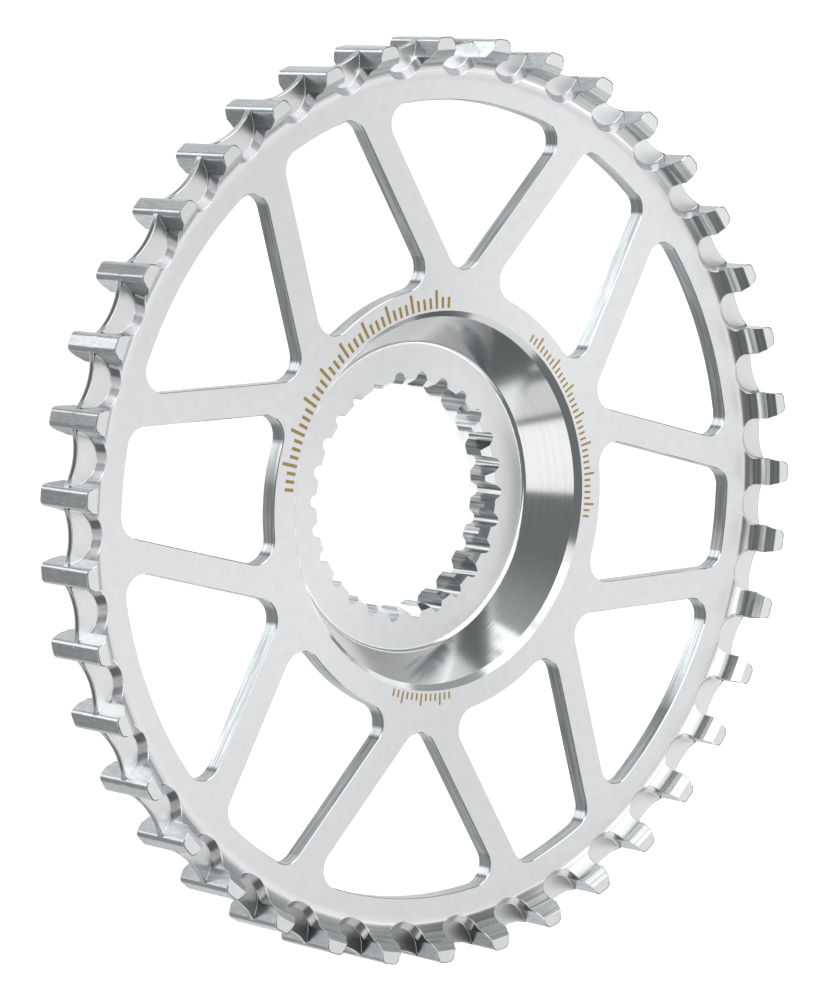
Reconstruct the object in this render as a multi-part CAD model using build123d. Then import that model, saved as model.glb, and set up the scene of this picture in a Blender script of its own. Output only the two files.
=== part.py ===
from build123d import *
from math import asin, cos, pi, radians, sin, sqrt, tan
import os

# One-piece belt sprocket of machined aluminium, lying on its hub with the dished face up.
# The bearing axis is Z, Z = 0 is the back face of the hub and tooth 0 points along +Y.
# Driving dimensions, in millimetres and degrees

# Belt teeth
tooth_count = 39
belt_pitch = 11.0
tip_drop = 0.78          # from the belt's pitch circle down to the tooth tips
tooth_length = 10.7      # along the axis, centred on the web
tooth_tip_width = 2.76   # between the flanks where they meet the tip circle
flank_angle = 12.7       # of each flank to the tooth's own axis
tooth_depth = 4.65       # from the tip circle to the bottom of the gap
tip_corner_radius = 0.9

# Flat fin that closes the middle of each gap
fin_thickness = 1.0
fin_drop = 1.3           # from the tip circle to the fin's edge at mid gap
fin_scallop_radius = 10.0

# Slanted scoops that lead mud out of each gap on both sides of the fin
scoop_width = 6.2
scoop_lean = 52.4        # of the scoop's path to the axis

# Web and rim
web_thickness = 2.6
rim_flat_width = 2.95    # flat ring between the windows and the cove
cove_radius = 3.3
cove_slope = 75.0        # of the cove's short straight wall to the web
tooth_chamfer = 1.05     # from the wall up to the teeth's end face, at 45 degrees
tooth_face_width = 1.8   # flat end face of the teeth, measured radially

# Windows and spokes
spoke_pairs = 6
spoke_width = 4.45
spoke_angle = 37.6       # of a spoke's centre line to its pair's axis
spoke_apex_radius = 28.25
window_hub_radius = 31.58
rim_corner_radius = 3.0
hub_corner_radius = 3.25
edge_break = 0.12        # chamfer along the windows' edges

# Dished hub
dish_depth = 7.7         # from the web's front face down to the ring
mouth_radius = 27.85
mouth_chamfer = 0.88
dish_cone_angle = 31.15  # of the cone to the axis
dish_foot_radius = 0.85
dish_wall = 2.4
boss_root_radius = 2.0
boss_edge_chamfer = 0.5
ring_thickness = 5.45

# Splined bore
groove_count = 26
groove_phase = -2.0      # of the first groove from tooth 0, about the axis
land_radius = 16.5
groove_radius = 18.5
groove_root_radius = 0.88
groove_flank_angle = 26.0
front_lead_width = 0.87
front_lead_depth = 1.4
back_lead_width = 0.7
back_lead_depth = 0.75

# How far cutters run past the metal
overrun = 1.0

# Levels along the axis
ring_front = ring_thickness
web_front = ring_front + dish_depth
web_back = web_front - web_thickness
web_middle = (web_front + web_back) / 2
tooth_front = web_middle + tooth_length / 2
tooth_back = web_middle - tooth_length / 2

# Radii of the rim, from the belt inwards
tip_radius = tooth_count * belt_pitch / (2 * pi) - tip_drop
gap_radius = tip_radius - tooth_depth
tooth_face_radius = tip_radius - tooth_face_width
wall_top_radius = tooth_face_radius - tooth_chamfer
wall_height = tooth_front - tooth_chamfer - web_front
cove_corner_radius = wall_top_radius - wall_height / tan(radians(cove_slope))
cove_start_radius = cove_corner_radius - cove_radius * tan(radians(cove_slope) / 2)
window_rim_radius = cove_start_radius - rim_flat_width


def dish_radius(level):
    """Radius of the dish's cone at a level."""
    below_chamfer = web_front - mouth_chamfer - level
    return mouth_radius - mouth_chamfer - below_chamfer * tan(radians(dish_cone_angle))


def boss_radius(level):
    """Radius of the outside of the dish, parallel to its cone."""
    return dish_radius(level) + dish_wall / cos(radians(dish_cone_angle))


def axis_distance(point):
    """Distance of a point or vertex from the axis."""
    return sqrt(point.X ** 2 + point.Y ** 2)


def vertices_near(shape, points):
    """The vertices of a flat shape that lie on the given points."""
    return [shape.vertices().sort_by_distance(Vector(*point))[0] for point in points]


def turned_blank():
    """The turned body, with its bore, before any tooth, window or groove is cut."""
    blank_radius = tip_radius + overrun
    dish_foot = (dish_radius(ring_front), 0, ring_front)
    front_cove = (cove_corner_radius, 0, web_front)
    back_cove = (cove_corner_radius, 0, web_back)
    boss_root = (boss_radius(web_back), 0, web_back)
    boss_edge = (boss_radius(0), 0, 0)
    outline = [
        (land_radius, 0, back_lead_depth),
        (land_radius, 0, ring_front - front_lead_depth),
        (land_radius + front_lead_width, 0, ring_front),
        dish_foot,
        (mouth_radius - mouth_chamfer, 0, web_front - mouth_chamfer),
        (mouth_radius, 0, web_front),
        front_cove,
        (wall_top_radius, 0, tooth_front - tooth_chamfer),
        (tooth_face_radius, 0, tooth_front),
        (blank_radius, 0, tooth_front),
        (blank_radius, 0, tooth_back),
        (tooth_face_radius, 0, tooth_back),
        (wall_top_radius, 0, tooth_back + tooth_chamfer),
        back_cove,
        boss_root,
        boss_edge,
        (land_radius + back_lead_width, 0, 0),
    ]
    section = make_face(Polyline(outline, close=True))
    section = fillet(vertices_near(section, [front_cove, back_cove]), cove_radius)
    section = fillet(vertices_near(section, [dish_foot]), dish_foot_radius)
    section = fillet(vertices_near(section, [boss_root]), boss_root_radius)
    section = chamfer(vertices_near(section, [boss_edge]), boss_edge_chamfer)
    return revolve(section, Axis.Z)


def gap_face():
    """One tooth gap on the X axis: two flanks joined by a root arc that is tangent to both."""
    half_pitch = pi / tooth_count
    half_tip = tooth_tip_width / 2
    flank = radians(flank_angle) + half_pitch
    tip_angle = half_pitch - asin(half_tip / tip_radius)
    tip_x = tip_radius * cos(tip_angle)
    tip_y = tip_radius * sin(tip_angle)
    apex = tip_x - tip_y / tan(flank)
    root_radius = (gap_radius - apex) * sin(flank) / (1 - sin(flank))
    root_centre = gap_radius + root_radius
    root_x = root_centre - root_radius * sin(flank)
    root_y = root_radius * cos(flank)
    mouth_x = tip_x + overrun
    mouth_y = (mouth_x - apex) * tan(flank)
    outline = Wire([
        Line((mouth_x, mouth_y), (root_x, root_y)),
        ThreePointArc((root_x, root_y), (gap_radius, 0), (root_x, -root_y)),
        Line((root_x, -root_y), (mouth_x, -mouth_y)),
        Line((mouth_x, -mouth_y), (mouth_x, mouth_y)),
    ])
    return make_face(outline)


def around(shape, count, first_angle):
    """Copies of a shape evenly spaced about the axis."""
    return [Rot(0, 0, first_angle + index * 360 / count) * shape for index in range(count)]


def toothed_outline():
    """The outline of all teeth seen along the axis, with rounded tip corners."""
    gaps = around(gap_face(), tooth_count, 90 + 180 / tooth_count)
    outline = Circle(tip_radius) - gaps
    tips = [vertex for vertex in outline.vertices() if axis_distance(vertex) > tip_radius - 0.01]
    return fillet(tips, tip_corner_radius)


def prism(face, low, high):
    """A straight prism on a face drawn in the XY plane, between two levels."""
    return Pos(0, 0, low) * extrude(face, high - low)


def fin_ring():
    """The fin between the teeth, a ring whose edge is scalloped at each gap."""
    scallop = Pos(tip_radius - fin_drop + fin_scallop_radius, 0) * Circle(fin_scallop_radius)
    scallops = around(scallop, tooth_count, 90 + 180 / tooth_count)
    ring = Circle(tip_radius) - Circle(gap_radius - overrun) - scallops
    return prism(ring, web_middle - fin_thickness / 2, web_middle + fin_thickness / 2)


def scoop_pair():
    """The two scoops of the gap on the X axis, leaning inwards from the fin to each side."""
    half = scoop_width / 2
    rise = (tooth_length - fin_thickness) / 2 + overrun
    path = rise / cos(radians(scoop_lean))
    shift = rise * tan(radians(scoop_lean))
    centre = gap_radius + half
    slot = Pos(centre, 0) * Circle(half)
    slot += Pos(centre + shift / 2 + overrun, 0) * Rectangle(shift + 2 * overrun, scoop_width)
    start = Pos(0, 0, web_middle + fin_thickness / 2) * slot
    lean = (-sin(radians(scoop_lean)), 0, cos(radians(scoop_lean)))
    front = extrude(start.faces()[0], path, dir=lean)
    back = mirror(front, Plane.XY.offset(web_middle))
    return [front, back]


def round_corners(window):
    """A window with its corners rounded, by one radius at the rim and another at the hub."""
    middle = (window_hub_radius + window_rim_radius) / 2
    at_rim = [corner for corner in window.vertices() if axis_distance(corner) > middle]
    window = fillet(at_rim, rim_corner_radius)
    at_hub = [corner for corner in window.vertices() if axis_distance(corner) < middle]
    return fillet(at_hub, hub_corner_radius)


def wide_window():
    """The three-cornered window between the two spokes of a pair, on the X axis."""
    lean = radians(spoke_angle)
    tip = spoke_apex_radius + spoke_width / 2 / sin(lean)
    reach = 2 * window_rim_radius
    far_corners = [(tip + reach * cos(lean), side * reach * sin(lean)) for side in (1, -1)]
    wedge = make_face(Polyline((tip, 0), *far_corners, close=True))
    return round_corners(wedge & Circle(window_rim_radius))


def narrow_window():
    """The four-cornered window between two neighbouring pairs, on the X axis."""
    reach = 2 * window_rim_radius
    bar = Pos(reach / 2 - spoke_width, 0) * Rectangle(reach, spoke_width)
    spoke = Pos(spoke_apex_radius, 0) * Rot(0, 0, spoke_angle) * bar
    lower = Rot(0, 0, -180 / spoke_pairs) * spoke
    band = Circle(window_rim_radius) - Circle(window_hub_radius) - lower - mirror(lower, Plane.XZ)
    window = band.faces().sort_by(SortBy.AREA)[0]
    return round_corners(make_face(window.outer_wire().edges()))


def window_edges(body):
    """The edges of all windows on the two faces of the web."""
    found = []
    for edge in body.edges():
        point = edge.position_at(0.5)
        on_web = min(abs(point.Z - web_front), abs(point.Z - web_back)) < 0.001
        if on_web and window_hub_radius - 0.001 < axis_distance(point) < window_rim_radius + 0.001:
            found.append(edge)
    return found


def groove_face():
    """One groove of the spline on the X axis, straight flanks tangent to a round root."""
    flank = radians(groove_flank_angle)
    root_x = groove_radius - groove_root_radius + groove_root_radius * sin(flank)
    root_y = groove_root_radius * cos(flank)
    mouth_x = land_radius - overrun
    mouth_y = root_y + (root_x - mouth_x) * tan(flank)
    outline = Wire([
        Line((mouth_x, mouth_y), (root_x, root_y)),
        ThreePointArc((root_x, root_y), (groove_radius, 0), (root_x, -root_y)),
        Line((root_x, -root_y), (mouth_x, -mouth_y)),
        Line((mouth_x, -mouth_y), (mouth_x, mouth_y)),
    ])
    return make_face(outline)


def sprocket():
    """The whole sprocket, one solid."""
    between_pairs = 90 + 180 / spoke_pairs
    windows = around(wide_window(), spoke_pairs, 90) + around(narrow_window(), spoke_pairs, between_pairs)
    body = turned_blank() - [prism(window, web_back - overrun, web_front + overrun) for window in windows]
    body = chamfer(window_edges(body), edge_break)
    body = body & prism(toothed_outline(), -overrun, tooth_front + overrun)
    for scoop in scoop_pair():
        body = body - around(scoop, tooth_count, 90 + 180 / tooth_count)
    body = body + fin_ring()
    groove = prism(groove_face(), -overrun, ring_front + overrun)
    return body - around(groove, groove_count, 90 + groove_phase)


os.makedirs("parts", exist_ok=True)
export_step(sprocket(), "parts/sprocket.step")
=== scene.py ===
"""Studio scene for a one-piece belt sprocket of bare machined aluminium."""

import logging
import math
from dataclasses import dataclass, field
from enum import Enum

import bpy
from mathutils import Matrix, Vector

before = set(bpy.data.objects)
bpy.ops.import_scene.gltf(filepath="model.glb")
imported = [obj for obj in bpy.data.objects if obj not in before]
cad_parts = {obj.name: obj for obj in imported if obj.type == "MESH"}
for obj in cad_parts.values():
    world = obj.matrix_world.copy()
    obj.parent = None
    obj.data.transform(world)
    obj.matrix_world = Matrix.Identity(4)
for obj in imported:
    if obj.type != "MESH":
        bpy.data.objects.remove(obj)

log = logging.getLogger("belt_sprocket")

Socket = bpy.types.NodeSocket
Colour = tuple[float, float, float, float]
Tint = tuple[float, float, float]
Band = tuple[float, float]
Tones = tuple[tuple[float, float], ...]
Number = Socket | float
Shade = Socket | Colour

WHOLE_TURN = 360.0


class Op(Enum):
    """The arithmetic that the finishes use, by its plain name."""

    ADD = "ADD"
    SUBTRACT = "SUBTRACT"
    MULTIPLY = "MULTIPLY"
    DIVIDE = "DIVIDE"
    LARGER = "MAXIMUM"
    ABSOLUTE = "ABSOLUTE"
    SQUARE_ROOT = "SQRT"
    ANGLE = "ARCTAN2"
    FRACTION = "FRACT"
    ABOVE = "GREATER_THAN"
    BELOW = "LESS_THAN"


class Graph:
    """A material's or world's node tree, with short calls for the nodes that the finishes need."""

    def __init__(self, tree: bpy.types.NodeTree) -> None:
        """Takes a tree and empties it."""
        self.tree = tree
        self.tree.nodes.clear()

    def node(self, kind: str) -> bpy.types.Node:
        """Adds a node of a kind."""
        return self.tree.nodes.new(kind)

    def feed(self, socket: Socket, value: Number | Colour | Tint) -> None:
        """Links a socket to another, or sets it to a constant.

        Args:
            socket: The input that takes the value.
            value: An output to link, or a number, vector or colour.
        """
        if isinstance(value, bpy.types.NodeSocket):
            self.tree.links.new(value, socket)
        else:
            socket.default_value = value

    def maths(self, op: Op, first: Number, second: Number = 0.0) -> Socket:
        """Works out one step of arithmetic.

        Args:
            op: The step.
            first: The first number.
            second: The second number, unused by steps that take one.

        Returns:
            The result's socket.
        """
        node = self.node("ShaderNodeMath")
        node.operation = op.value
        self.feed(node.inputs[0], first)
        self.feed(node.inputs[1], second)
        return node.outputs[0]

    def product(self, *factors: Number) -> Socket:
        """Multiplies two or more numbers.

        Args:
            factors: The numbers.

        Returns:
            Their product.
        """
        total = factors[0]
        for factor in factors[1:]:
            total = self.maths(Op.MULTIPLY, total, factor)
        return total

    def ramp_between(self, value: Socket, low: float, high: float) -> Socket:
        """Rises smoothly from 0 at low to 1 at high.

        Args:
            value: The number that drives the rise.
            low: Where the rise starts.
            high: Where it ends.

        Returns:
            The eased share from 0 to 1.
        """
        node = self.node("ShaderNodeMapRange")
        node.interpolation_type = "SMOOTHSTEP"
        self.feed(node.inputs["Value"], value)
        self.feed(node.inputs["From Min"], low)
        self.feed(node.inputs["From Max"], high)
        return node.outputs["Result"]

    def scale_between(self, value: Socket, low: float, high: float) -> Socket:
        """Maps a share from 0 to 1 onto a range.

        Args:
            value: The share.
            low: The result at 0.
            high: The result at 1.

        Returns:
            The number in the range.
        """
        node = self.node("ShaderNodeMapRange")
        self.feed(node.inputs["Value"], value)
        self.feed(node.inputs["To Min"], low)
        self.feed(node.inputs["To Max"], high)
        return node.outputs["Result"]

    def split(self, vector: Socket) -> tuple[Socket, Socket, Socket]:
        """Takes a vector apart.

        Args:
            vector: The vector.

        Returns:
            Its X, Y and Z.
        """
        node = self.node("ShaderNodeSeparateXYZ")
        self.feed(node.inputs[0], vector)
        return node.outputs[0], node.outputs[1], node.outputs[2]

    def join(self, x: Number, y: Number, z: Number) -> Socket:
        """Puts a vector together.

        Args:
            x: Its X.
            y: Its Y.
            z: Its Z.

        Returns:
            The vector.
        """
        node = self.node("ShaderNodeCombineXYZ")
        for socket, value in zip(node.inputs, (x, y, z)):
            self.feed(socket, value)
        return node.outputs[0]

    def noise(self, vector: Socket, scale: float, detail: float, roughness: float) -> Socket:
        """Soft noise from about 0.2 to 0.8.

        Args:
            vector: Where the noise is read.
            scale: Spots for each metre.
            detail: Layers of finer noise.
            roughness: Strength of the finer layers.

        Returns:
            The noise's value.
        """
        node = self.node("ShaderNodeTexNoise")
        self.feed(node.inputs["Vector"], vector)
        node.inputs["Scale"].default_value = scale
        node.inputs["Detail"].default_value = detail
        node.inputs["Roughness"].default_value = roughness
        return node.outputs["Fac"]

    def scaled(self, colour: Socket | Tint, factor: Socket) -> Socket:
        """Makes a colour lighter or darker.

        Args:
            colour: The colour.
            factor: How many times lighter it becomes.

        Returns:
            The new colour.
        """
        node = self.node("ShaderNodeVectorMath")
        node.operation = "SCALE"
        self.feed(node.inputs[0], colour)
        self.feed(node.inputs["Scale"], factor)
        return node.outputs[0]

    def dot(self, first: Socket, second: Socket | Tint) -> Socket:
        """Tells how far two directions agree.

        Args:
            first: The first direction.
            second: The second direction.

        Returns:
            Their dot product.
        """
        node = self.node("ShaderNodeVectorMath")
        node.operation = "DOT_PRODUCT"
        self.feed(node.inputs[0], first)
        self.feed(node.inputs[1], second)
        return node.outputs["Value"]

    def blend(self, share: Socket, first: Shade, second: Shade) -> Socket:
        """Mixes two colours.

        Args:
            share: 0 for the first, 1 for the second.
            first: The colour at 0.
            second: The colour at 1.

        Returns:
            The mixed colour.
        """
        node = self.node("ShaderNodeMix")
        node.data_type = "RGBA"
        self.feed(node.inputs["Factor"], share)
        self.feed(node.inputs[6], first)
        self.feed(node.inputs[7], second)
        return node.outputs[2]

    def turn(self, share: Socket, first: Socket, second: Socket) -> Socket:
        """Goes from one direction to another.

        Args:
            share: 0 for the first, 1 for the second.
            first: The direction at 0.
            second: The direction at 1.

        Returns:
            The direction between them.
        """
        node = self.node("ShaderNodeMix")
        node.data_type = "VECTOR"
        self.feed(node.inputs[0], share)
        self.feed(node.inputs[4], first)
        self.feed(node.inputs[5], second)
        return node.outputs[1]

    def mix(self, share: Socket, first: Number, second: Number) -> Socket:
        """Mixes two numbers.

        Args:
            share: 0 for the first, 1 for the second.
            first: The number at 0.
            second: The number at 1.

        Returns:
            The mixed number.
        """
        node = self.node("ShaderNodeMix")
        self.feed(node.inputs[0], share)
        self.feed(node.inputs[2], first)
        self.feed(node.inputs[3], second)
        return node.outputs[0]

    def tone(self, share: Socket, tones: Tones) -> Socket:
        """Paints light and shade onto a machined face, from its direction or its place around the axis.

        Args:
            share: The direction or place, as a share of the whole turn.
            tones: Pairs of degrees and painted lightness, in rising order.

        Returns:
            The painted light or shade from 0 to 1.
        """
        ramp = self.node("ShaderNodeValToRGB")
        self.feed(ramp.inputs["Fac"], share)
        stops = ramp.color_ramp.elements
        while len(stops) < len(tones):
            stops.new(0.5)
        for stop, (degrees, tone) in zip(stops, tones):
            stop.position = degrees / WHOLE_TURN
            stop.color = (tone, tone, tone, 1.0)
        return ramp.outputs["Color"]


def aimed_axes(bearing: float, elevation: float, roll: float) -> Matrix:
    """Turns a camera or a lamp towards the object.

    Args:
        bearing: Where it stands around the object, in degrees.
        elevation: How high it stands, in degrees.
        roll: How far it is turned about its line of sight, in degrees.

    Returns:
        Its right, up and back as the columns of a matrix.
    """
    round_axis, above_floor, tilt = (math.radians(angle) for angle in (bearing, elevation, roll))
    reach = math.cos(above_floor)
    back = Vector((math.cos(round_axis) * reach, math.sin(round_axis) * reach, math.sin(above_floor)))
    level = Vector((0, 0, 1)).cross(back).normalized()
    steep = back.cross(level)
    right = level * math.cos(tilt) + steep * math.sin(tilt)
    return Matrix((right, back.cross(right), back)).transposed()


def stand_back(aim: Vector, axes: Matrix, distance: float) -> Matrix:
    """Places a camera or a lamp at a distance from the point that it looks at."""
    return Matrix.Translation(aim + axes.col[2] * distance) @ axes.to_4x4()


@dataclass(frozen=True)
class View:
    """The photograph's camera, found from the teeth, windows and hub.

    Lengths are in metres, the lens and sensor in millimetres, and angles in degrees.
    """

    aim: tuple[float, float, float] = (-0.00575, -0.00007, 0.01315)
    distance: float = 0.64836
    bearing: float = 177.005
    elevation: float = 48.860
    roll: float = 97.472
    lens: float = 161.026
    sensor: float = 36.0
    nearest: float = 0.01
    furthest: float = 20.0

    def build(self) -> bpy.types.Object:
        """Makes the camera and gives it to the scene.

        Returns:
            The camera's object.
        """
        data = bpy.data.cameras.new("photo_camera")
        data.lens = self.lens
        data.sensor_width = self.sensor
        data.sensor_fit = "AUTO"
        data.clip_start = self.nearest
        data.clip_end = self.furthest
        camera = bpy.data.objects.new("photo_camera", data)
        axes = aimed_axes(self.bearing, self.elevation, self.roll)
        camera.matrix_world = stand_back(Vector(self.aim), axes, self.distance)
        bpy.context.scene.collection.objects.link(camera)
        bpy.context.scene.camera = camera
        return camera


@dataclass(frozen=True)
class Panel:
    """One soft lamp panel, aimed at the sprocket.

    Lengths are in metres, angles in degrees, and level is its brightness as seen from the object.
    """

    name: str
    bearing: float
    elevation: float
    roll: float
    width: float
    height: float
    level: float
    distance: float = 1.2

    def build(self, aim: Vector) -> bpy.types.Object:
        """Makes the lamp.

        Args:
            aim: The point that the panel faces.

        Returns:
            The lamp's object.
        """
        data = bpy.data.lights.new(self.name, "AREA")
        data.shape = "RECTANGLE"
        data.size = self.width
        data.size_y = self.height
        data.energy = self.level * math.pi * self.width * self.height
        lamp = bpy.data.objects.new(self.name, data)
        axes = aimed_axes(self.bearing, self.elevation, self.roll)
        lamp.matrix_world = stand_back(aim, axes, self.distance)
        lamp.visible_camera = False
        bpy.context.scene.collection.objects.link(lamp)
        return lamp


@dataclass
class Studio:
    """The floor, the lamps and the surroundings.

    Lengths are in metres and angles in degrees. The levels are brightness, where 1 is white.
    """

    view: View
    panels: tuple[Panel, ...] = (
        Panel("top_panel", 98.0, 65.0, 12.0, 1.50, 1.12, 1.28),
        Panel("far_panel", 92.0, 22.0, 0.0, 0.64, 1.06, 1.08),
        Panel("side_panel", 134.0, 37.0, -10.0, 0.80, 0.60, 0.92),
        Panel("right_panel", 346.0, 38.0, 10.0, 1.30, 1.20, 0.88),
        Panel("window_panel", 297.0, 28.0, 14.0, 0.98, 1.15, 0.70),
        Panel("low_panel", 211.0, 8.0, 0.0, 0.88, 0.42, 1.00),
        Panel("front_panel", 245.0, 4.0, 0.0, 0.40, 0.34, 0.62),
    )
    floor_half: float = 6.0
    floor_drop: float = 0.0002
    floor_colour: Colour = (0.66, 0.66, 0.66, 1.0)
    mirrored_level: float = 0.60
    seen_level: float = 0.74
    near_level: float = 0.195
    far_level: float = 0.42
    far_bearing: float = 50.0
    far_band: Band = (-0.30, 0.60)
    surround_colour: Colour = (0.95, 0.99, 1.0, 1.0)

    def build(self) -> None:
        """Makes everything around the object."""
        self.build_floor()
        self.build_world()
        for panel in self.panels:
            panel.build(Vector(self.view.aim))
            log.info("lamp %s", panel.name)

    def build_floor(self) -> bpy.types.Object:
        """Makes the plain pale floor that the sprocket lies on.

        Returns:
            The floor's object.
        """
        bpy.ops.object.select_all(action="DESELECT")
        bpy.ops.mesh.primitive_plane_add(size=2 * self.floor_half, location=(0, 0, -self.floor_drop))
        floor = bpy.context.active_object
        floor.name = "floor"
        floor.data.materials.append(self.floor_finish())
        return floor

    def floor_finish(self) -> bpy.types.Material:
        """Makes the pale matte card, which keeps the shadow and shows as white.

        Returns:
            The floor's material.
        """
        material = bpy.data.materials.new("pale_floor")
        material.use_nodes = True
        graph = Graph(material.node_tree)
        matte = graph.node("ShaderNodeBsdfDiffuse")
        matte.inputs["Color"].default_value = self.floor_colour
        path = graph.node("ShaderNodeLightPath")
        mirrored = graph.maths(Op.LARGER, path.outputs["Is Glossy Ray"], path.outputs["Is Transmission Ray"])
        mirrored = graph.product(mirrored, self.mirrored_level)
        seen = graph.product(path.outputs["Is Camera Ray"], self.seen_level)
        glow = graph.node("ShaderNodeEmission")
        graph.feed(glow.inputs["Strength"], graph.maths(Op.LARGER, seen, mirrored))
        both = graph.node("ShaderNodeAddShader")
        graph.feed(both.inputs[0], matte.outputs[0])
        graph.feed(both.inputs[1], glow.outputs[0])
        out = graph.node("ShaderNodeOutputMaterial")
        graph.feed(out.inputs["Surface"], both.outputs[0])
        return material

    def build_world(self) -> None:
        """Makes surroundings that are paler on the far side than behind the camera."""
        world = bpy.data.worlds.new("studio")
        world.use_nodes = True
        bpy.context.scene.world = world
        graph = Graph(world.node_tree)
        around = graph.node("ShaderNodeTexCoord").outputs["Generated"]
        bearing = math.radians(self.far_bearing)
        far = graph.dot(around, (math.cos(bearing), math.sin(bearing), 0.0))
        share = graph.ramp_between(far, *self.far_band)
        backdrop = graph.node("ShaderNodeBackground")
        backdrop.inputs["Color"].default_value = self.surround_colour
        level = graph.scale_between(share, self.near_level, self.far_level)
        graph.feed(backdrop.inputs["Strength"], level)
        out = graph.node("ShaderNodeOutputWorld")
        graph.feed(out.inputs["Surface"], backdrop.outputs[0])


@dataclass(frozen=True)
class Place:
    """Where a point of the part lies and which way its surface faces, each as a socket.

    The angle is in radians. The bearing that the surface faces and the seat around the axis are shares of
    a whole turn. Around, outward and rise are the parts of the normal about the axis, away from it and
    along it, and around and upright have no sign.
    """

    point: Socket
    x: Socket
    y: Socket
    z: Socket
    radius: Socket
    angle: Socket
    around: Socket
    outward: Socket
    rise: Socket
    upright: Socket
    bearing: Socket
    seat: Socket

    @classmethod
    def read(cls, graph: Graph) -> "Place":
        """Reads the point and its normal.

        Args:
            graph: The material's nodes.

        Returns:
            The place.
        """
        source = graph.node("ShaderNodeTexCoord")
        point = source.outputs["Object"]
        x, y, z = graph.split(point)
        nx, ny, nz = graph.split(source.outputs["Normal"])
        radius = graph.maths(Op.SQUARE_ROOT, graph.maths(Op.ADD, graph.product(x, x), graph.product(y, y)))
        angle = graph.maths(Op.ANGLE, y, x)
        turning = graph.maths(Op.SUBTRACT, graph.product(x, ny), graph.product(y, nx))
        leaving = graph.maths(Op.ADD, graph.product(x, nx), graph.product(y, ny))
        opposite = graph.maths(Op.ANGLE, graph.product(ny, -1.0), graph.product(nx, -1.0))
        turns = graph.maths(Op.DIVIDE, angle, 2 * math.pi)
        return cls(
            point=point,
            x=x,
            y=y,
            z=z,
            radius=radius,
            angle=angle,
            around=graph.maths(Op.ABSOLUTE, graph.maths(Op.DIVIDE, turning, radius)),
            outward=graph.maths(Op.DIVIDE, leaving, radius),
            rise=nz,
            upright=graph.maths(Op.ABSOLUTE, nz),
            bearing=graph.maths(Op.DIVIDE, graph.maths(Op.ADD, opposite, math.pi), 2 * math.pi),
            seat=graph.maths(Op.FRACTION, graph.maths(Op.ADD, turns, 1.0)),
        )


@dataclass(frozen=True)
class Faces:
    """Shares from 0 to 1 that tell the kinds of machined face apart, each as a socket."""

    flat: Socket
    wall: Socket
    bore: Socket
    land: Socket
    groove_floor: Socket
    tooth: Socket
    flank: Socket
    tip: Socket
    end_rim: Socket
    scoop: Socket
    cove_bend: Socket
    fin: Socket
    fin_side: Socket
    fin_line: Socket


@dataclass(frozen=True)
class Bands:
    """Where each kind of machined face starts and where it is complete.

    Radii and heights are in metres, and the bands on around, outward and upright are shares of the normal.
    """

    flat_upright: Band = (0.96, 0.995)
    wall_upright: Band = (0.20, 0.05)
    bore_radius: Band = (0.0191, 0.0187)
    land_radius: Band = (0.0172, 0.0167)
    groove_around: Band = (0.20, 0.10)
    groove_radius: Band = (0.0177, 0.0181)
    tooth_radius: Band = (0.0600, 0.0615)
    flank_around: Band = (0.88, 0.94)
    tip_around: Band = (0.45, 0.30)
    tip_radius: Band = (0.0668, 0.0670)
    end_rim_radius: Band = (0.0665, 0.0667)
    scoop_outward: Band = (0.04, 0.12)
    scoop_upright: Band = (0.04, 0.12)
    scoop_radius: Band = (0.0656, 0.0652)
    cove_bend_outward: Band = (-0.10, -0.20)
    cove_bend_start: Band = (0.70, 0.78)
    cove_bend_end: Band = (0.985, 0.95)
    fin_around: Band = (0.60, 0.50)
    fin_inner_radius: Band = (0.0638, 0.0642)
    fin_outer_radius: Band = (0.0672, 0.0668)
    fin_side_height: Band = (0.0128, 0.0125)
    # Where the painted dark line along the fins' edges lies.
    fin_line_around: Band = (0.38, 0.26)
    fin_line_bottom: Band = (0.01158, 0.01168)
    fin_line_top: Band = (0.01222, 0.01212)

    def faces(self, graph: Graph, place: Place) -> Faces:
        """Tells the kinds of face apart.

        Args:
            graph: The material's nodes.
            place: The point and its normal.

        Returns:
            The share of each kind.
        """
        flat = graph.ramp_between(place.upright, *self.flat_upright)
        wall = graph.ramp_between(place.upright, *self.wall_upright)
        bore = graph.ramp_between(place.radius, *self.bore_radius)
        tooth = graph.ramp_between(place.radius, *self.tooth_radius)
        return Faces(
            flat=flat,
            wall=wall,
            bore=bore,
            land=graph.ramp_between(place.radius, *self.land_radius),
            # Where the bore's groove floors carry a painted highlight.
            groove_floor=graph.product(
                bore,
                graph.ramp_between(place.around, *self.groove_around),
                graph.ramp_between(place.radius, *self.groove_radius),
                wall,
            ),
            tooth=tooth,
            flank=graph.product(tooth, graph.ramp_between(place.around, *self.flank_around)),
            tip=graph.product(
                graph.ramp_between(place.around, *self.tip_around),
                graph.ramp_between(place.radius, *self.tip_radius),
            ),
            end_rim=graph.product(flat, graph.ramp_between(place.radius, *self.end_rim_radius)),
            scoop=graph.product(
                tooth,
                graph.ramp_between(place.outward, *self.scoop_outward),
                graph.ramp_between(place.upright, *self.scoop_upright),
                graph.ramp_between(place.radius, *self.scoop_radius),
            ),
            cove_bend=graph.product(
                graph.ramp_between(place.outward, *self.cove_bend_outward),
                graph.ramp_between(place.upright, *self.cove_bend_start),
                graph.ramp_between(place.upright, *self.cove_bend_end),
            ),
            fin=graph.product(
                graph.ramp_between(place.around, *self.fin_around),
                graph.ramp_between(place.radius, *self.fin_inner_radius),
                graph.ramp_between(place.radius, *self.fin_outer_radius),
                wall,
            ),
            fin_side=graph.product(flat, tooth, graph.ramp_between(place.z, *self.fin_side_height)),
            fin_line=graph.product(
                graph.ramp_between(place.z, *self.fin_line_bottom),
                graph.ramp_between(place.z, *self.fin_line_top),
                graph.ramp_between(place.around, *self.fin_line_around),
            ),
        )


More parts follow.
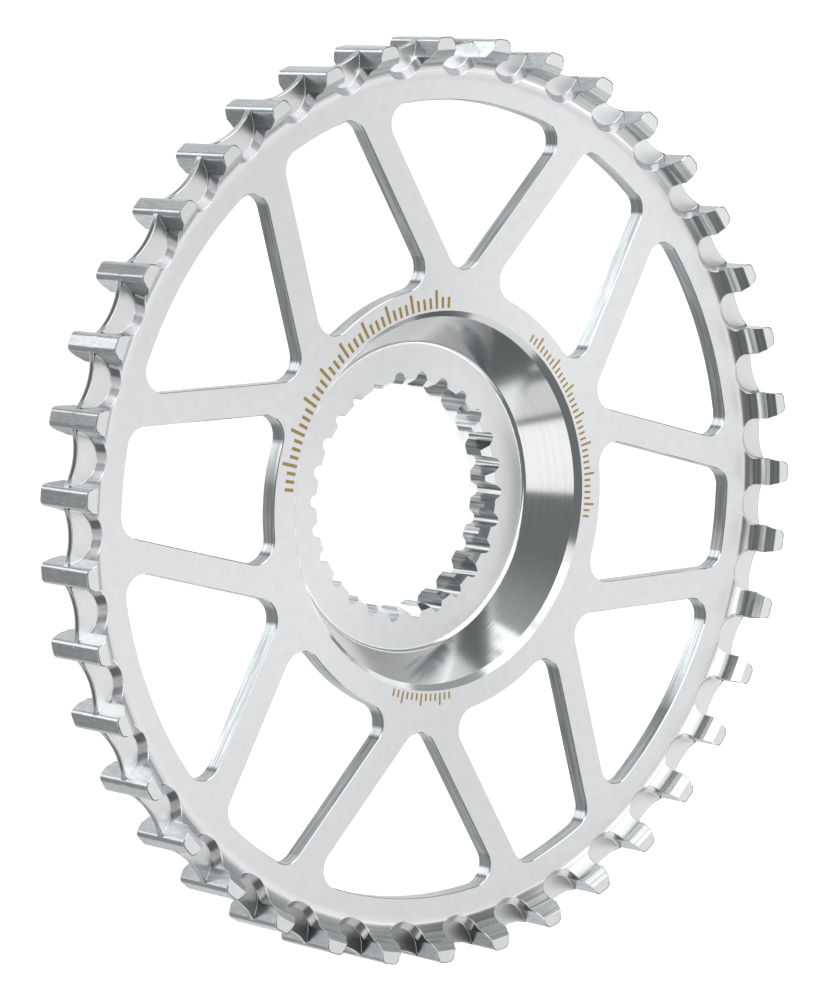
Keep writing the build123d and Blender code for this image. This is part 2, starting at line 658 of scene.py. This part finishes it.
@dataclass(frozen=True)
class Speckle:
    """Soft spots in the metal: how many for each metre, and how much finer detail they carry."""

    scale: float
    detail: float
    roughness: float = 0.5

    def read(self, graph: Graph, vector: Socket) -> Socket:
        """Reads the spots at a point."""
        return graph.noise(vector, self.scale, self.detail, self.roughness)


@dataclass(frozen=True)
class Streak:
    """Fine cutter lines, drawn out across the axis or along it.

    Across and along say how fast the lines change in each direction, and scale is lines for each metre.
    """

    across: float
    along: float
    scale: float
    detail: float = 3.0
    roughness: float = 0.65
    contrast: Band = (0.30, 0.70)

    def read(self, graph: Graph, place: Place) -> Socket:
        """Reads the lines at a point.

        Args:
            graph: The material's nodes.
            place: The point.

        Returns:
            A share from 0 to 1.
        """
        drawn_out = graph.join(
            graph.product(place.x, self.across),
            graph.product(place.y, self.across),
            graph.product(place.z, self.along),
        )
        lines = graph.noise(drawn_out, self.scale, self.detail, self.roughness)
        return graph.ramp_between(lines, *self.contrast)


@dataclass(frozen=True)
class Marks:
    """The lathe's rings, the cutters' lines and the metal's spots at a point, each as a socket."""

    rings: Socket
    passes: Socket
    broach: Socket
    rub: Socket
    grain: Socket
    cloud: Socket
    patch: Socket


@dataclass(frozen=True)
class Cutting:
    """How fine the marks of each kind of machining are."""

    rings: Speckle = Speckle(4200.0, 3.0)
    ring_wander: float = 0.0004
    passes: Streak = Streak(across=0.03, along=1.0, scale=3400.0)
    broach: Streak = Streak(across=1.0, along=0.03, scale=2600.0)
    rub: Streak = Streak(across=1.0, along=0.25, scale=3000.0)
    grain: Speckle = Speckle(5200.0, 3.0, 0.6)
    cloud: Speckle = Speckle(620.0, 4.0, 0.6)
    patch: Speckle = Speckle(160.0, 2.0)

    def read(self, graph: Graph, place: Place) -> Marks:
        """Reads every kind of mark at a point.

        Args:
            graph: The material's nodes.
            place: The point.

        Returns:
            The marks.
        """
        turned = graph.join(place.radius, place.z, graph.product(place.angle, self.ring_wander))
        return Marks(
            rings=self.rings.read(graph, turned),
            passes=self.passes.read(graph, place),
            broach=self.broach.read(graph, place),
            rub=self.rub.read(graph, place),
            grain=self.grain.read(graph, place.point),
            cloud=self.cloud.read(graph, place.point),
            patch=self.patch.read(graph, place.point),
        )


@dataclass(frozen=True)
class EtchedRow:
    """A row of small laser-etched scale marks on the ring around the dish.

    Angles and spacing are in degrees and radii in metres. The stroke is the share of a space that is marked,
    and every so many marks one is long.
    """

    first_angle: float
    last_angle: float
    inner_radius: float
    outer_radius: float
    spacing: float
    long_every: int
    stroke: float
    short_share: float = 0.6

    def read(self, graph: Graph, degrees: Socket, radius: Socket) -> Socket:
        """Finds the marks of the row.

        Args:
            graph: The material's nodes.
            degrees: The point's angle about the axis.
            radius: The point's distance from the axis.

        Returns:
            1 on a mark and 0 elsewhere.
        """
        middle = (self.first_angle + self.last_angle) / 2
        half = (self.last_angle - self.first_angle) / 2
        centre = middle if middle <= WHOLE_TURN / 2 else middle - WHOLE_TURN
        offset = graph.maths(Op.SUBTRACT, degrees, centre)
        within = graph.maths(Op.BELOW, graph.maths(Op.ABSOLUTE, offset), half)
        along = graph.maths(Op.ADD, offset, WHOLE_TURN)
        steps = graph.maths(Op.DIVIDE, along, self.spacing)
        stroke = graph.maths(Op.BELOW, graph.maths(Op.FRACTION, steps), self.stroke)
        long_steps = graph.maths(Op.DIVIDE, along, self.spacing * self.long_every)
        long_part = graph.maths(Op.FRACTION, long_steps)
        long_stroke = graph.maths(Op.BELOW, long_part, self.stroke / self.long_every)
        short_radius = self.inner_radius + self.short_share * (self.outer_radius - self.inner_radius)
        reach = graph.mix(long_stroke, short_radius, self.outer_radius)
        outside = graph.maths(Op.ABOVE, radius, self.inner_radius)
        inside = graph.maths(Op.BELOW, radius, reach)
        return graph.product(graph.product(within, stroke), graph.product(outside, inside))


@dataclass(frozen=True)
class Dish:
    """The ring, foot and cone of the hub's dish, whose true normal is smoother than the triangles give.

    Lengths are in metres and the cone's angle is in degrees.
    """

    foot_start: float = 0.022368
    foot_radius: float = 0.00085
    cone_angle: float = 31.15
    rim_radius: float = 0.0269
    ring_width: float = 0.001
    lowest: float = 0.005
    least_rise: float = 0.2

    def normal(self, graph: Graph, place: Place, elsewhere: Socket) -> Socket:
        """Works out the normal.

        Args:
            graph: The material's nodes.
            place: The point and the triangle's normal.
            elsewhere: The normal outside the dish.

        Returns:
            The normal everywhere.
        """
        steepest = math.cos(math.radians(self.cone_angle))
        past_start = graph.maths(Op.SUBTRACT, place.radius, self.foot_start)
        share = graph.maths(Op.DIVIDE, past_start, self.foot_radius * steepest)
        lean = graph.scale_between(share, 0.0, steepest)
        inward = graph.maths(Op.DIVIDE, lean, graph.product(place.radius, -1.0))
        up = graph.maths(Op.SQUARE_ROOT, graph.maths(Op.SUBTRACT, 1.0, graph.product(lean, lean)))
        smooth = graph.join(graph.product(place.x, inward), graph.product(place.y, inward), up)
        inside = graph.product(
            graph.maths(Op.ABOVE, place.radius, self.foot_start - self.ring_width),
            graph.maths(Op.BELOW, place.radius, self.rim_radius),
            graph.maths(Op.ABOVE, place.z, self.lowest),
            graph.maths(Op.ABOVE, place.rise, self.least_rise),
        )
        return graph.turn(inside, elsewhere, smooth)


@dataclass(frozen=True)
class MachinedAluminium:
    """Bare aluminium: satin flats, bright turned cones and coves, and milled walls with darker painted
    shade.

    Lengths are in metres. The tone tables are pairs of degrees and lightness, and they paint light and shade
    onto the walls, tips, flanks, scoops, coves, fins and fins' sides in place of the reflections those faces
    show. The facing, tip and scoop tables go by the bearing that a face looks in, and the others by its
    place around the axis. Edges and groove floors carry a painted highlight, and the rims of the teeth's end
    faces a painted dark line.
    """

    name: str = "machined_aluminium"
    bands: Bands = Bands()
    cutting: Cutting = Cutting()
    dish: Dish = Dish()
    rows: tuple[EtchedRow, ...] = (
        EtchedRow(93.0, 180.0, 0.0282, 0.0309, 2.3, 4, 0.42),
        EtchedRow(-3.0, 60.0, 0.0283, 0.0303, 1.8, 5, 0.36),
        EtchedRow(257.0, 280.0, 0.0282, 0.0300, 1.8, 4, 0.36),
    )
    etch_height: float = 0.0125
    flat_colour: Colour = (0.625, 0.623, 0.629, 1.0)
    turned_colour: Colour = (0.74, 0.745, 0.75, 1.0)
    cove_colour: Colour = (0.63, 0.645, 0.65, 1.0)
    # Painted dark line on the rims of the teeth's end faces.
    painted_dark_line_colour: Colour = (0.02, 0.02, 0.02, 1.0)
    # Painted highlight along the edges.
    painted_edge_light: Colour = (0.90, 0.90, 0.90, 1.0)
    etch_colour: Colour = (0.30, 0.215, 0.085, 1.0)
    scoop_tint: Tint = (1.0, 0.99, 1.02)
    wall_tint: Tint = (0.96, 1.0, 1.02)
    flat_roughness: float = 0.36
    turned_roughness: float = 0.115
    milled_roughness: float = 0.24
    scoop_roughness: float = 0.47
    right_cove_roughness: float = 0.20
    left_cove_roughness: float = 0.32
    cove_sides: Band = (0.012, -0.020)
    roughness_spread: Band = (0.8, 1.2)
    anisotropy: float = 0.5
    bump_strength: float = 0.12
    bump_depth: float = 0.00002
    window_edge: float = 0.00005
    tooth_edge: float = 0.00022
    tip_edge: float = 0.00038
    edge_samples: int = 8
    edge_bend: Band = (0.985, 0.90)
    # How strong the painted edge highlight is on the windows and on the teeth.
    window_highlight: float = 0.35
    tooth_highlight: float = 1.0
    window_lines: Band = (0.68, 1.34)
    window_patches: Band = (0.78, 1.22)
    tooth_lines: Band = (0.98, 1.24)
    tooth_patches: Band = (0.86, 1.14)
    bore_lines: Band = (0.56, 1.46)
    groove_level: float = 1.28
    land_level: float = 0.95
    scoop_lines: Band = (0.88, 1.10)
    flat_clouds: Band = (0.93, 1.07)
    ring_spread: Band = (-2.0, 2.0)
    dish_ring_depth: float = 0.05
    cove_ring_depth: float = 0.20
    scoop_ring_depth: float = 0.03
    # Painted light on the fins' edges beside their painted dark line.
    painted_fin_edge_light: float = 0.30
    front_height: Band = (0.0116, 0.0122)
    # Painted light and shade on the milled walls, by the bearing that a wall faces, in place of the
    # reflections the walls show.
    painted_facing_light: Tones = (
        (60.0, 0.34),
        (138.0, 0.41),
        (149.0, 0.19),
        (157.0, 0.80),
        (170.0, 0.78),
        (179.0, 0.20),
        (212.0, 0.18),
        (228.0, 0.38),
        (246.0, 0.36),
        (262.0, 0.20),
        (300.0, 0.34),
    )
    # Painted light and shade on the tooth tips, by the bearing that a tip faces.
    painted_tip_light: Tones = (
        (100.0, 0.33),
        (136.0, 0.36),
        (146.0, 0.33),
        (154.0, 0.20),
        (160.0, 0.72),
        (167.0, 0.70),
        (173.0, 0.27),
        (182.0, 0.19),
        (212.0, 0.17),
        (219.0, 0.36),
        (230.0, 0.38),
        (247.0, 0.35),
    )
    # Painted light and shade on the front of the tooth flanks, by their place around the axis.
    painted_front_flank_light: Tones = (
        (10.0, 0.26),
        (25.0, 0.34),
        (60.0, 0.39),
        (75.0, 0.31),
        (84.0, 0.42),
        (90.0, 0.74),
        (95.0, 0.78),
        (101.0, 0.24),
        (112.0, 0.23),
        (130.0, 0.36),
        (150.0, 0.48),
        (170.0, 0.56),
        (190.0, 0.72),
        (208.0, 0.98),
        (228.0, 0.80),
        (238.0, 0.62),
        (248.0, 0.36),
        (270.0, 0.32),
        (284.0, 0.20),
        (293.0, 0.41),
        (305.0, 0.40),
        (315.0, 0.34),
        (330.0, 0.30),
    )
    # Painted light and shade on the back of the tooth flanks, by their place around the axis.
    painted_back_flank_light: Tones = (
        (108.0, 0.20),
        (130.0, 0.155),
        (146.0, 0.46),
        (156.0, 0.46),
        (164.0, 0.14),
        (178.0, 0.12),
        (190.0, 0.45),
        (225.0, 0.52),
        (250.0, 0.36),
        (290.0, 0.30),
    )
    # Painted reflections on the scoops, by the bearing that a scoop faces.
    painted_scoop_light: Tones = (
        (45.0, 0.75),
        (90.0, 0.68),
        (106.0, 0.52),
        (118.0, 0.80),
        (148.0, 0.74),
        (156.0, 0.46),
        (170.0, 0.46),
        (178.0, 0.98),
        (198.0, 0.98),
        (207.0, 0.34),
        (226.0, 0.32),
        (234.0, 0.98),
        (262.0, 0.95),
        (276.0, 0.52),
        (292.0, 0.58),
        (345.0, 0.90),
    )
    # Painted shade on the coves' bend, darker in some places around the axis.
    painted_cove_shade: Tones = (
        (2.0, 0.34),
        (18.0, 0.50),
        (34.0, 0.63),
        (266.0, 0.63),
        (278.0, 0.30),
        (292.0, 0.22),
        (302.0, 0.63),
        (350.0, 0.63),
        (358.0, 0.34),
    )
    # Painted light and shade on the fins' flat sides, by their place around the axis.
    painted_fin_side_light: Tones = (
        (48.0, 0.61),
        (66.0, 0.74),
        (84.0, 0.70),
        (98.0, 0.88),
        (112.0, 0.76),
        (122.0, 0.63),
        (230.0, 0.62),
        (240.0, 0.40),
        (252.0, 0.29),
        (270.0, 0.29),
        (281.0, 0.48),
        (294.0, 0.64),
    )
    # Painted dark line along the fins' edges, by its place around the axis.
    painted_fin_line_shade: Tones = (
        (95.0, 0.30),
        (118.0, 0.32),
        (124.0, 0.55),
        (138.0, 0.52),
        (143.0, 0.10),
        (220.0, 0.085),
        (229.0, 0.30),
    )

    def build(self) -> bpy.types.Material:
        """Makes the material.

        Returns:
            The finished material.
        """
        material = bpy.data.materials.new(self.name)
        material.use_nodes = True
        graph = Graph(material.node_tree)
        place = Place.read(graph)
        faces = self.bands.faces(graph, place)
        marks = self.cutting.read(graph, place)
        softened, edge = self.edges(graph, place, faces)
        normal = self.dish.normal(graph, place, softened)

        shader = graph.node("ShaderNodeBsdfPrincipled")
        shader.inputs["Metallic"].default_value = 1.0
        shader.inputs["Anisotropic"].default_value = self.anisotropy
        tangent = graph.node("ShaderNodeTangent")
        tangent.direction_type = "RADIAL"
        tangent.axis = "Z"
        graph.feed(shader.inputs["Base Color"], self.colour(graph, place, faces, marks, edge))
        graph.feed(shader.inputs["Roughness"], self.roughness(graph, place, faces, marks, edge))
        graph.feed(shader.inputs["Normal"], self.bump(graph, faces, marks, normal))
        graph.feed(shader.inputs["Tangent"], tangent.outputs[0])
        out = graph.node("ShaderNodeOutputMaterial")
        graph.feed(out.inputs["Surface"], shader.outputs[0])
        return material

    def colour(self, graph: Graph, place: Place, faces: Faces, marks: Marks, edge: Socket) -> Socket:
        """Puts the colours of all kinds of face together.

        Args:
            graph: The material's nodes.
            place: The point and its normal.
            faces: The kinds of face.
            marks: The marks of machining.
            edge: Share of being on an edge, where a highlight is painted.

        Returns:
            The colour.
        """
        turned = self.turned_faces(graph, place, faces, marks)
        colour = graph.blend(faces.wall, turned, self.milled_faces(graph, place, faces, marks))
        # The fins' edges get a painted dark line between painted lighter borders.
        painted_fin_light = graph.mix(faces.fin_line, self.painted_fin_edge_light, graph.tone(place.seat, self.painted_fin_line_shade))
        colour = graph.blend(faces.fin, colour, graph.scaled(self.wall_tint, painted_fin_light))
        # Painted highlight along the edges, turned into a painted dark line on the rims of the teeth's end
        # faces.
        painted_edge_light = graph.blend(faces.end_rim, self.painted_edge_light, self.painted_dark_line_colour)
        # The bore's groove floors get the same painted highlight as the edges.
        colour = graph.blend(graph.maths(Op.LARGER, edge, faces.groove_floor), colour, painted_edge_light)
        return graph.blend(self.etching(graph, place, faces), colour, self.etch_colour)

    def milled_faces(self, graph: Graph, place: Place, faces: Faces, marks: Marks) -> Socket:
        """Colours the window walls, tips, flanks and grooves, which stand along the axis, with light and
        shade painted on by the way each faces or its place around the axis.

        Args:
            graph: The material's nodes.
            place: The point and its normal.
            faces: The kinds of face.
            marks: The marks of machining.

        Returns:
            The colour.
        """
        window_lines = graph.product(
            graph.scale_between(marks.passes, *self.window_lines),
            graph.scale_between(marks.patch, *self.window_patches),
        )
        tooth_lines = graph.product(
            graph.scale_between(marks.rub, *self.tooth_lines),
            graph.scale_between(marks.patch, *self.tooth_patches),
        )
        bore_lines = graph.product(
            graph.scale_between(marks.broach, *self.bore_lines),
            graph.mix(faces.land, self.groove_level, self.land_level),
        )
        lines = graph.mix(faces.bore, graph.mix(faces.tooth, window_lines, tooth_lines), bore_lines)
        # Painted light and shade on the flanks, one table for the front and one for the back.
        painted_flank_light = graph.mix(
            graph.ramp_between(place.z, *self.front_height),
            graph.tone(place.seat, self.painted_back_flank_light),
            graph.tone(place.seat, self.painted_front_flank_light),
        )
        # Painted light and shade for the walls and tips, by the bearing that they face.
        tone = graph.mix(
            faces.tip,
            graph.tone(place.bearing, self.painted_facing_light),
            graph.tone(place.bearing, self.painted_tip_light),
        )
        tone = graph.mix(faces.flank, tone, painted_flank_light)
        return graph.scaled(self.wall_tint, graph.product(tone, lines))

    def turned_faces(self, graph: Graph, place: Place, faces: Faces, marks: Marks) -> Socket:
        """Colours the flats, the cone, the coves, the scoops and the fins' sides, with light and shade
        painted onto the coves, scoops and fins' sides.

        Args:
            graph: The material's nodes.
            place: The point and its normal.
            faces: The kinds of face.
            marks: The marks of machining.

        Returns:
            The colour.
        """
        # Painted reflections on the scoops, times the real rub lines.
        scoop_light_and_lines = graph.product(
            graph.tone(place.bearing, self.painted_scoop_light),
            graph.scale_between(marks.rub, *self.scoop_lines),
        )
        # The cove's bend takes painted shade by its place around the axis.
        cove = graph.blend(faces.cove_bend, self.cove_colour, graph.tone(place.seat, self.painted_cove_shade))
        turned = graph.blend(faces.tooth, self.turned_colour, cove)
        turned = graph.blend(faces.scoop, turned, graph.scaled(self.scoop_tint, scoop_light_and_lines))
        colour = graph.blend(faces.flat, turned, self.flat_colour)
        # Painted light and shade on the fins' flat sides.
        colour = graph.blend(faces.fin_side, colour, graph.tone(place.seat, self.painted_fin_side_light))

        ring_depth = graph.mix(faces.tooth, self.dish_ring_depth, self.cove_ring_depth)
        ring_depth = graph.mix(faces.scoop, ring_depth, self.scoop_ring_depth)
        rings = graph.product(graph.scale_between(marks.rings, *self.ring_spread), ring_depth)
        clouds = graph.scale_between(marks.cloud, *self.flat_clouds)
        return graph.scaled(colour, graph.mix(faces.flat, graph.maths(Op.ADD, 1.0, rings), clouds))

    def roughness(self, graph: Graph, place: Place, faces: Faces, marks: Marks, edge: Socket) -> Socket:
        """Tells how rough each kind of face is.

        Args:
            graph: The material's nodes.
            place: The point and its normal.
            faces: The kinds of face.
            marks: The marks of machining.
            edge: Share of being on an edge.

        Returns:
            The roughness.
        """
        side = graph.ramp_between(place.x, *self.cove_sides)
        cove = graph.mix(side, self.right_cove_roughness, self.left_cove_roughness)
        roughness = graph.mix(faces.tooth, self.turned_roughness, cove)
        roughness = graph.mix(faces.scoop, roughness, self.scoop_roughness)
        roughness = graph.mix(faces.wall, roughness, self.milled_roughness)
        roughness = graph.mix(faces.flat, roughness, self.flat_roughness)
        roughness = graph.product(roughness, graph.scale_between(marks.grain, *self.roughness_spread))
        return graph.mix(edge, roughness, self.turned_roughness)

    def bump(self, graph: Graph, faces: Faces, marks: Marks, normal: Socket) -> Socket:
        """Roughens the normal with the marks of machining.

        Args:
            graph: The material's nodes.
            faces: The kinds of face.
            marks: The marks of machining.
            normal: The normal of the form.

        Returns:
            The normal with the marks in it.
        """
        cut = graph.mix(faces.wall, marks.rings, marks.passes)
        height = graph.mix(graph.maths(Op.LARGER, faces.flat, faces.scoop), cut, marks.grain)
        node = graph.node("ShaderNodeBump")
        node.inputs["Strength"].default_value = self.bump_strength
        node.inputs["Distance"].default_value = self.bump_depth
        graph.feed(node.inputs["Height"], height)
        graph.feed(node.inputs["Normal"], normal)
        return node.outputs[0]

    def edges(self, graph: Graph, place: Place, faces: Faces) -> tuple[Socket, Socket]:
        """Softens the edges' normals, wider on the teeth than on the windows, and finds where a highlight is
        painted along them.

        Args:
            graph: The material's nodes.
            place: The point and its normal.
            faces: The kinds of face.

        Returns:
            The softened normal, and a share that is 1 on an edge and 0 away from it.
        """
        tip_zone = graph.ramp_between(place.radius, *self.bands.end_rim_radius)
        tooth_width = graph.mix(tip_zone, self.tooth_edge, self.tip_edge)
        softened = graph.node("ShaderNodeBevel")
        softened.samples = self.edge_samples
        graph.feed(softened.inputs["Radius"], graph.mix(faces.tooth, self.window_edge, tooth_width))
        sharp = graph.node("ShaderNodeNewGeometry").outputs["Normal"]
        # Where the normal bends, a highlight is painted.
        near_edge = graph.ramp_between(graph.dot(softened.outputs[0], sharp), *self.edge_bend)
        strength = graph.mix(faces.tooth, self.window_highlight, self.tooth_highlight)
        outside_dish = graph.maths(Op.ABOVE, place.radius, self.dish.rim_radius)
        in_bore = graph.maths(Op.BELOW, place.radius, self.bands.bore_radius[0])
        away_from_dish = graph.maths(Op.LARGER, outside_dish, in_bore)
        return softened.outputs[0], graph.product(near_edge, strength, away_from_dish)

    def etching(self, graph: Graph, place: Place, faces: Faces) -> Socket:
        """Finds the laser etching on the front of the web.

        Args:
            graph: The material's nodes.
            place: The point and its normal.
            faces: The kinds of face.

        Returns:
            1 on a mark and 0 elsewhere.
        """
        degrees = graph.product(place.angle, math.degrees(1.0))
        total: Number = 0.0
        for row in self.rows:
            total = graph.maths(Op.LARGER, total, row.read(graph, degrees, place.radius))
        front = graph.product(graph.maths(Op.ABOVE, place.z, self.etch_height), faces.flat)
        return graph.product(total, front)


@dataclass
class Sprocket:
    """The sprocket, one machined piece."""

    node: str = "sprocket"
    finish: MachinedAluminium = field(default_factory=MachinedAluminium)

    def dress(self) -> None:
        """Gives the solid its finish."""
        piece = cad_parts[self.node]
        piece.data.materials.clear()
        piece.data.materials.append(self.finish.build())
        log.info("dressed %s", self.node)


def main() -> None:
    """Builds the scene in order."""
    logging.basicConfig(level=logging.INFO)
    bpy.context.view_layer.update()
    scene = bpy.context.scene
    scene.view_settings.view_transform = "Standard"
    view = View()
    view.build()
    Studio(view).build()
    Sprocket().dress()


if __name__ == "__main__":
    main()
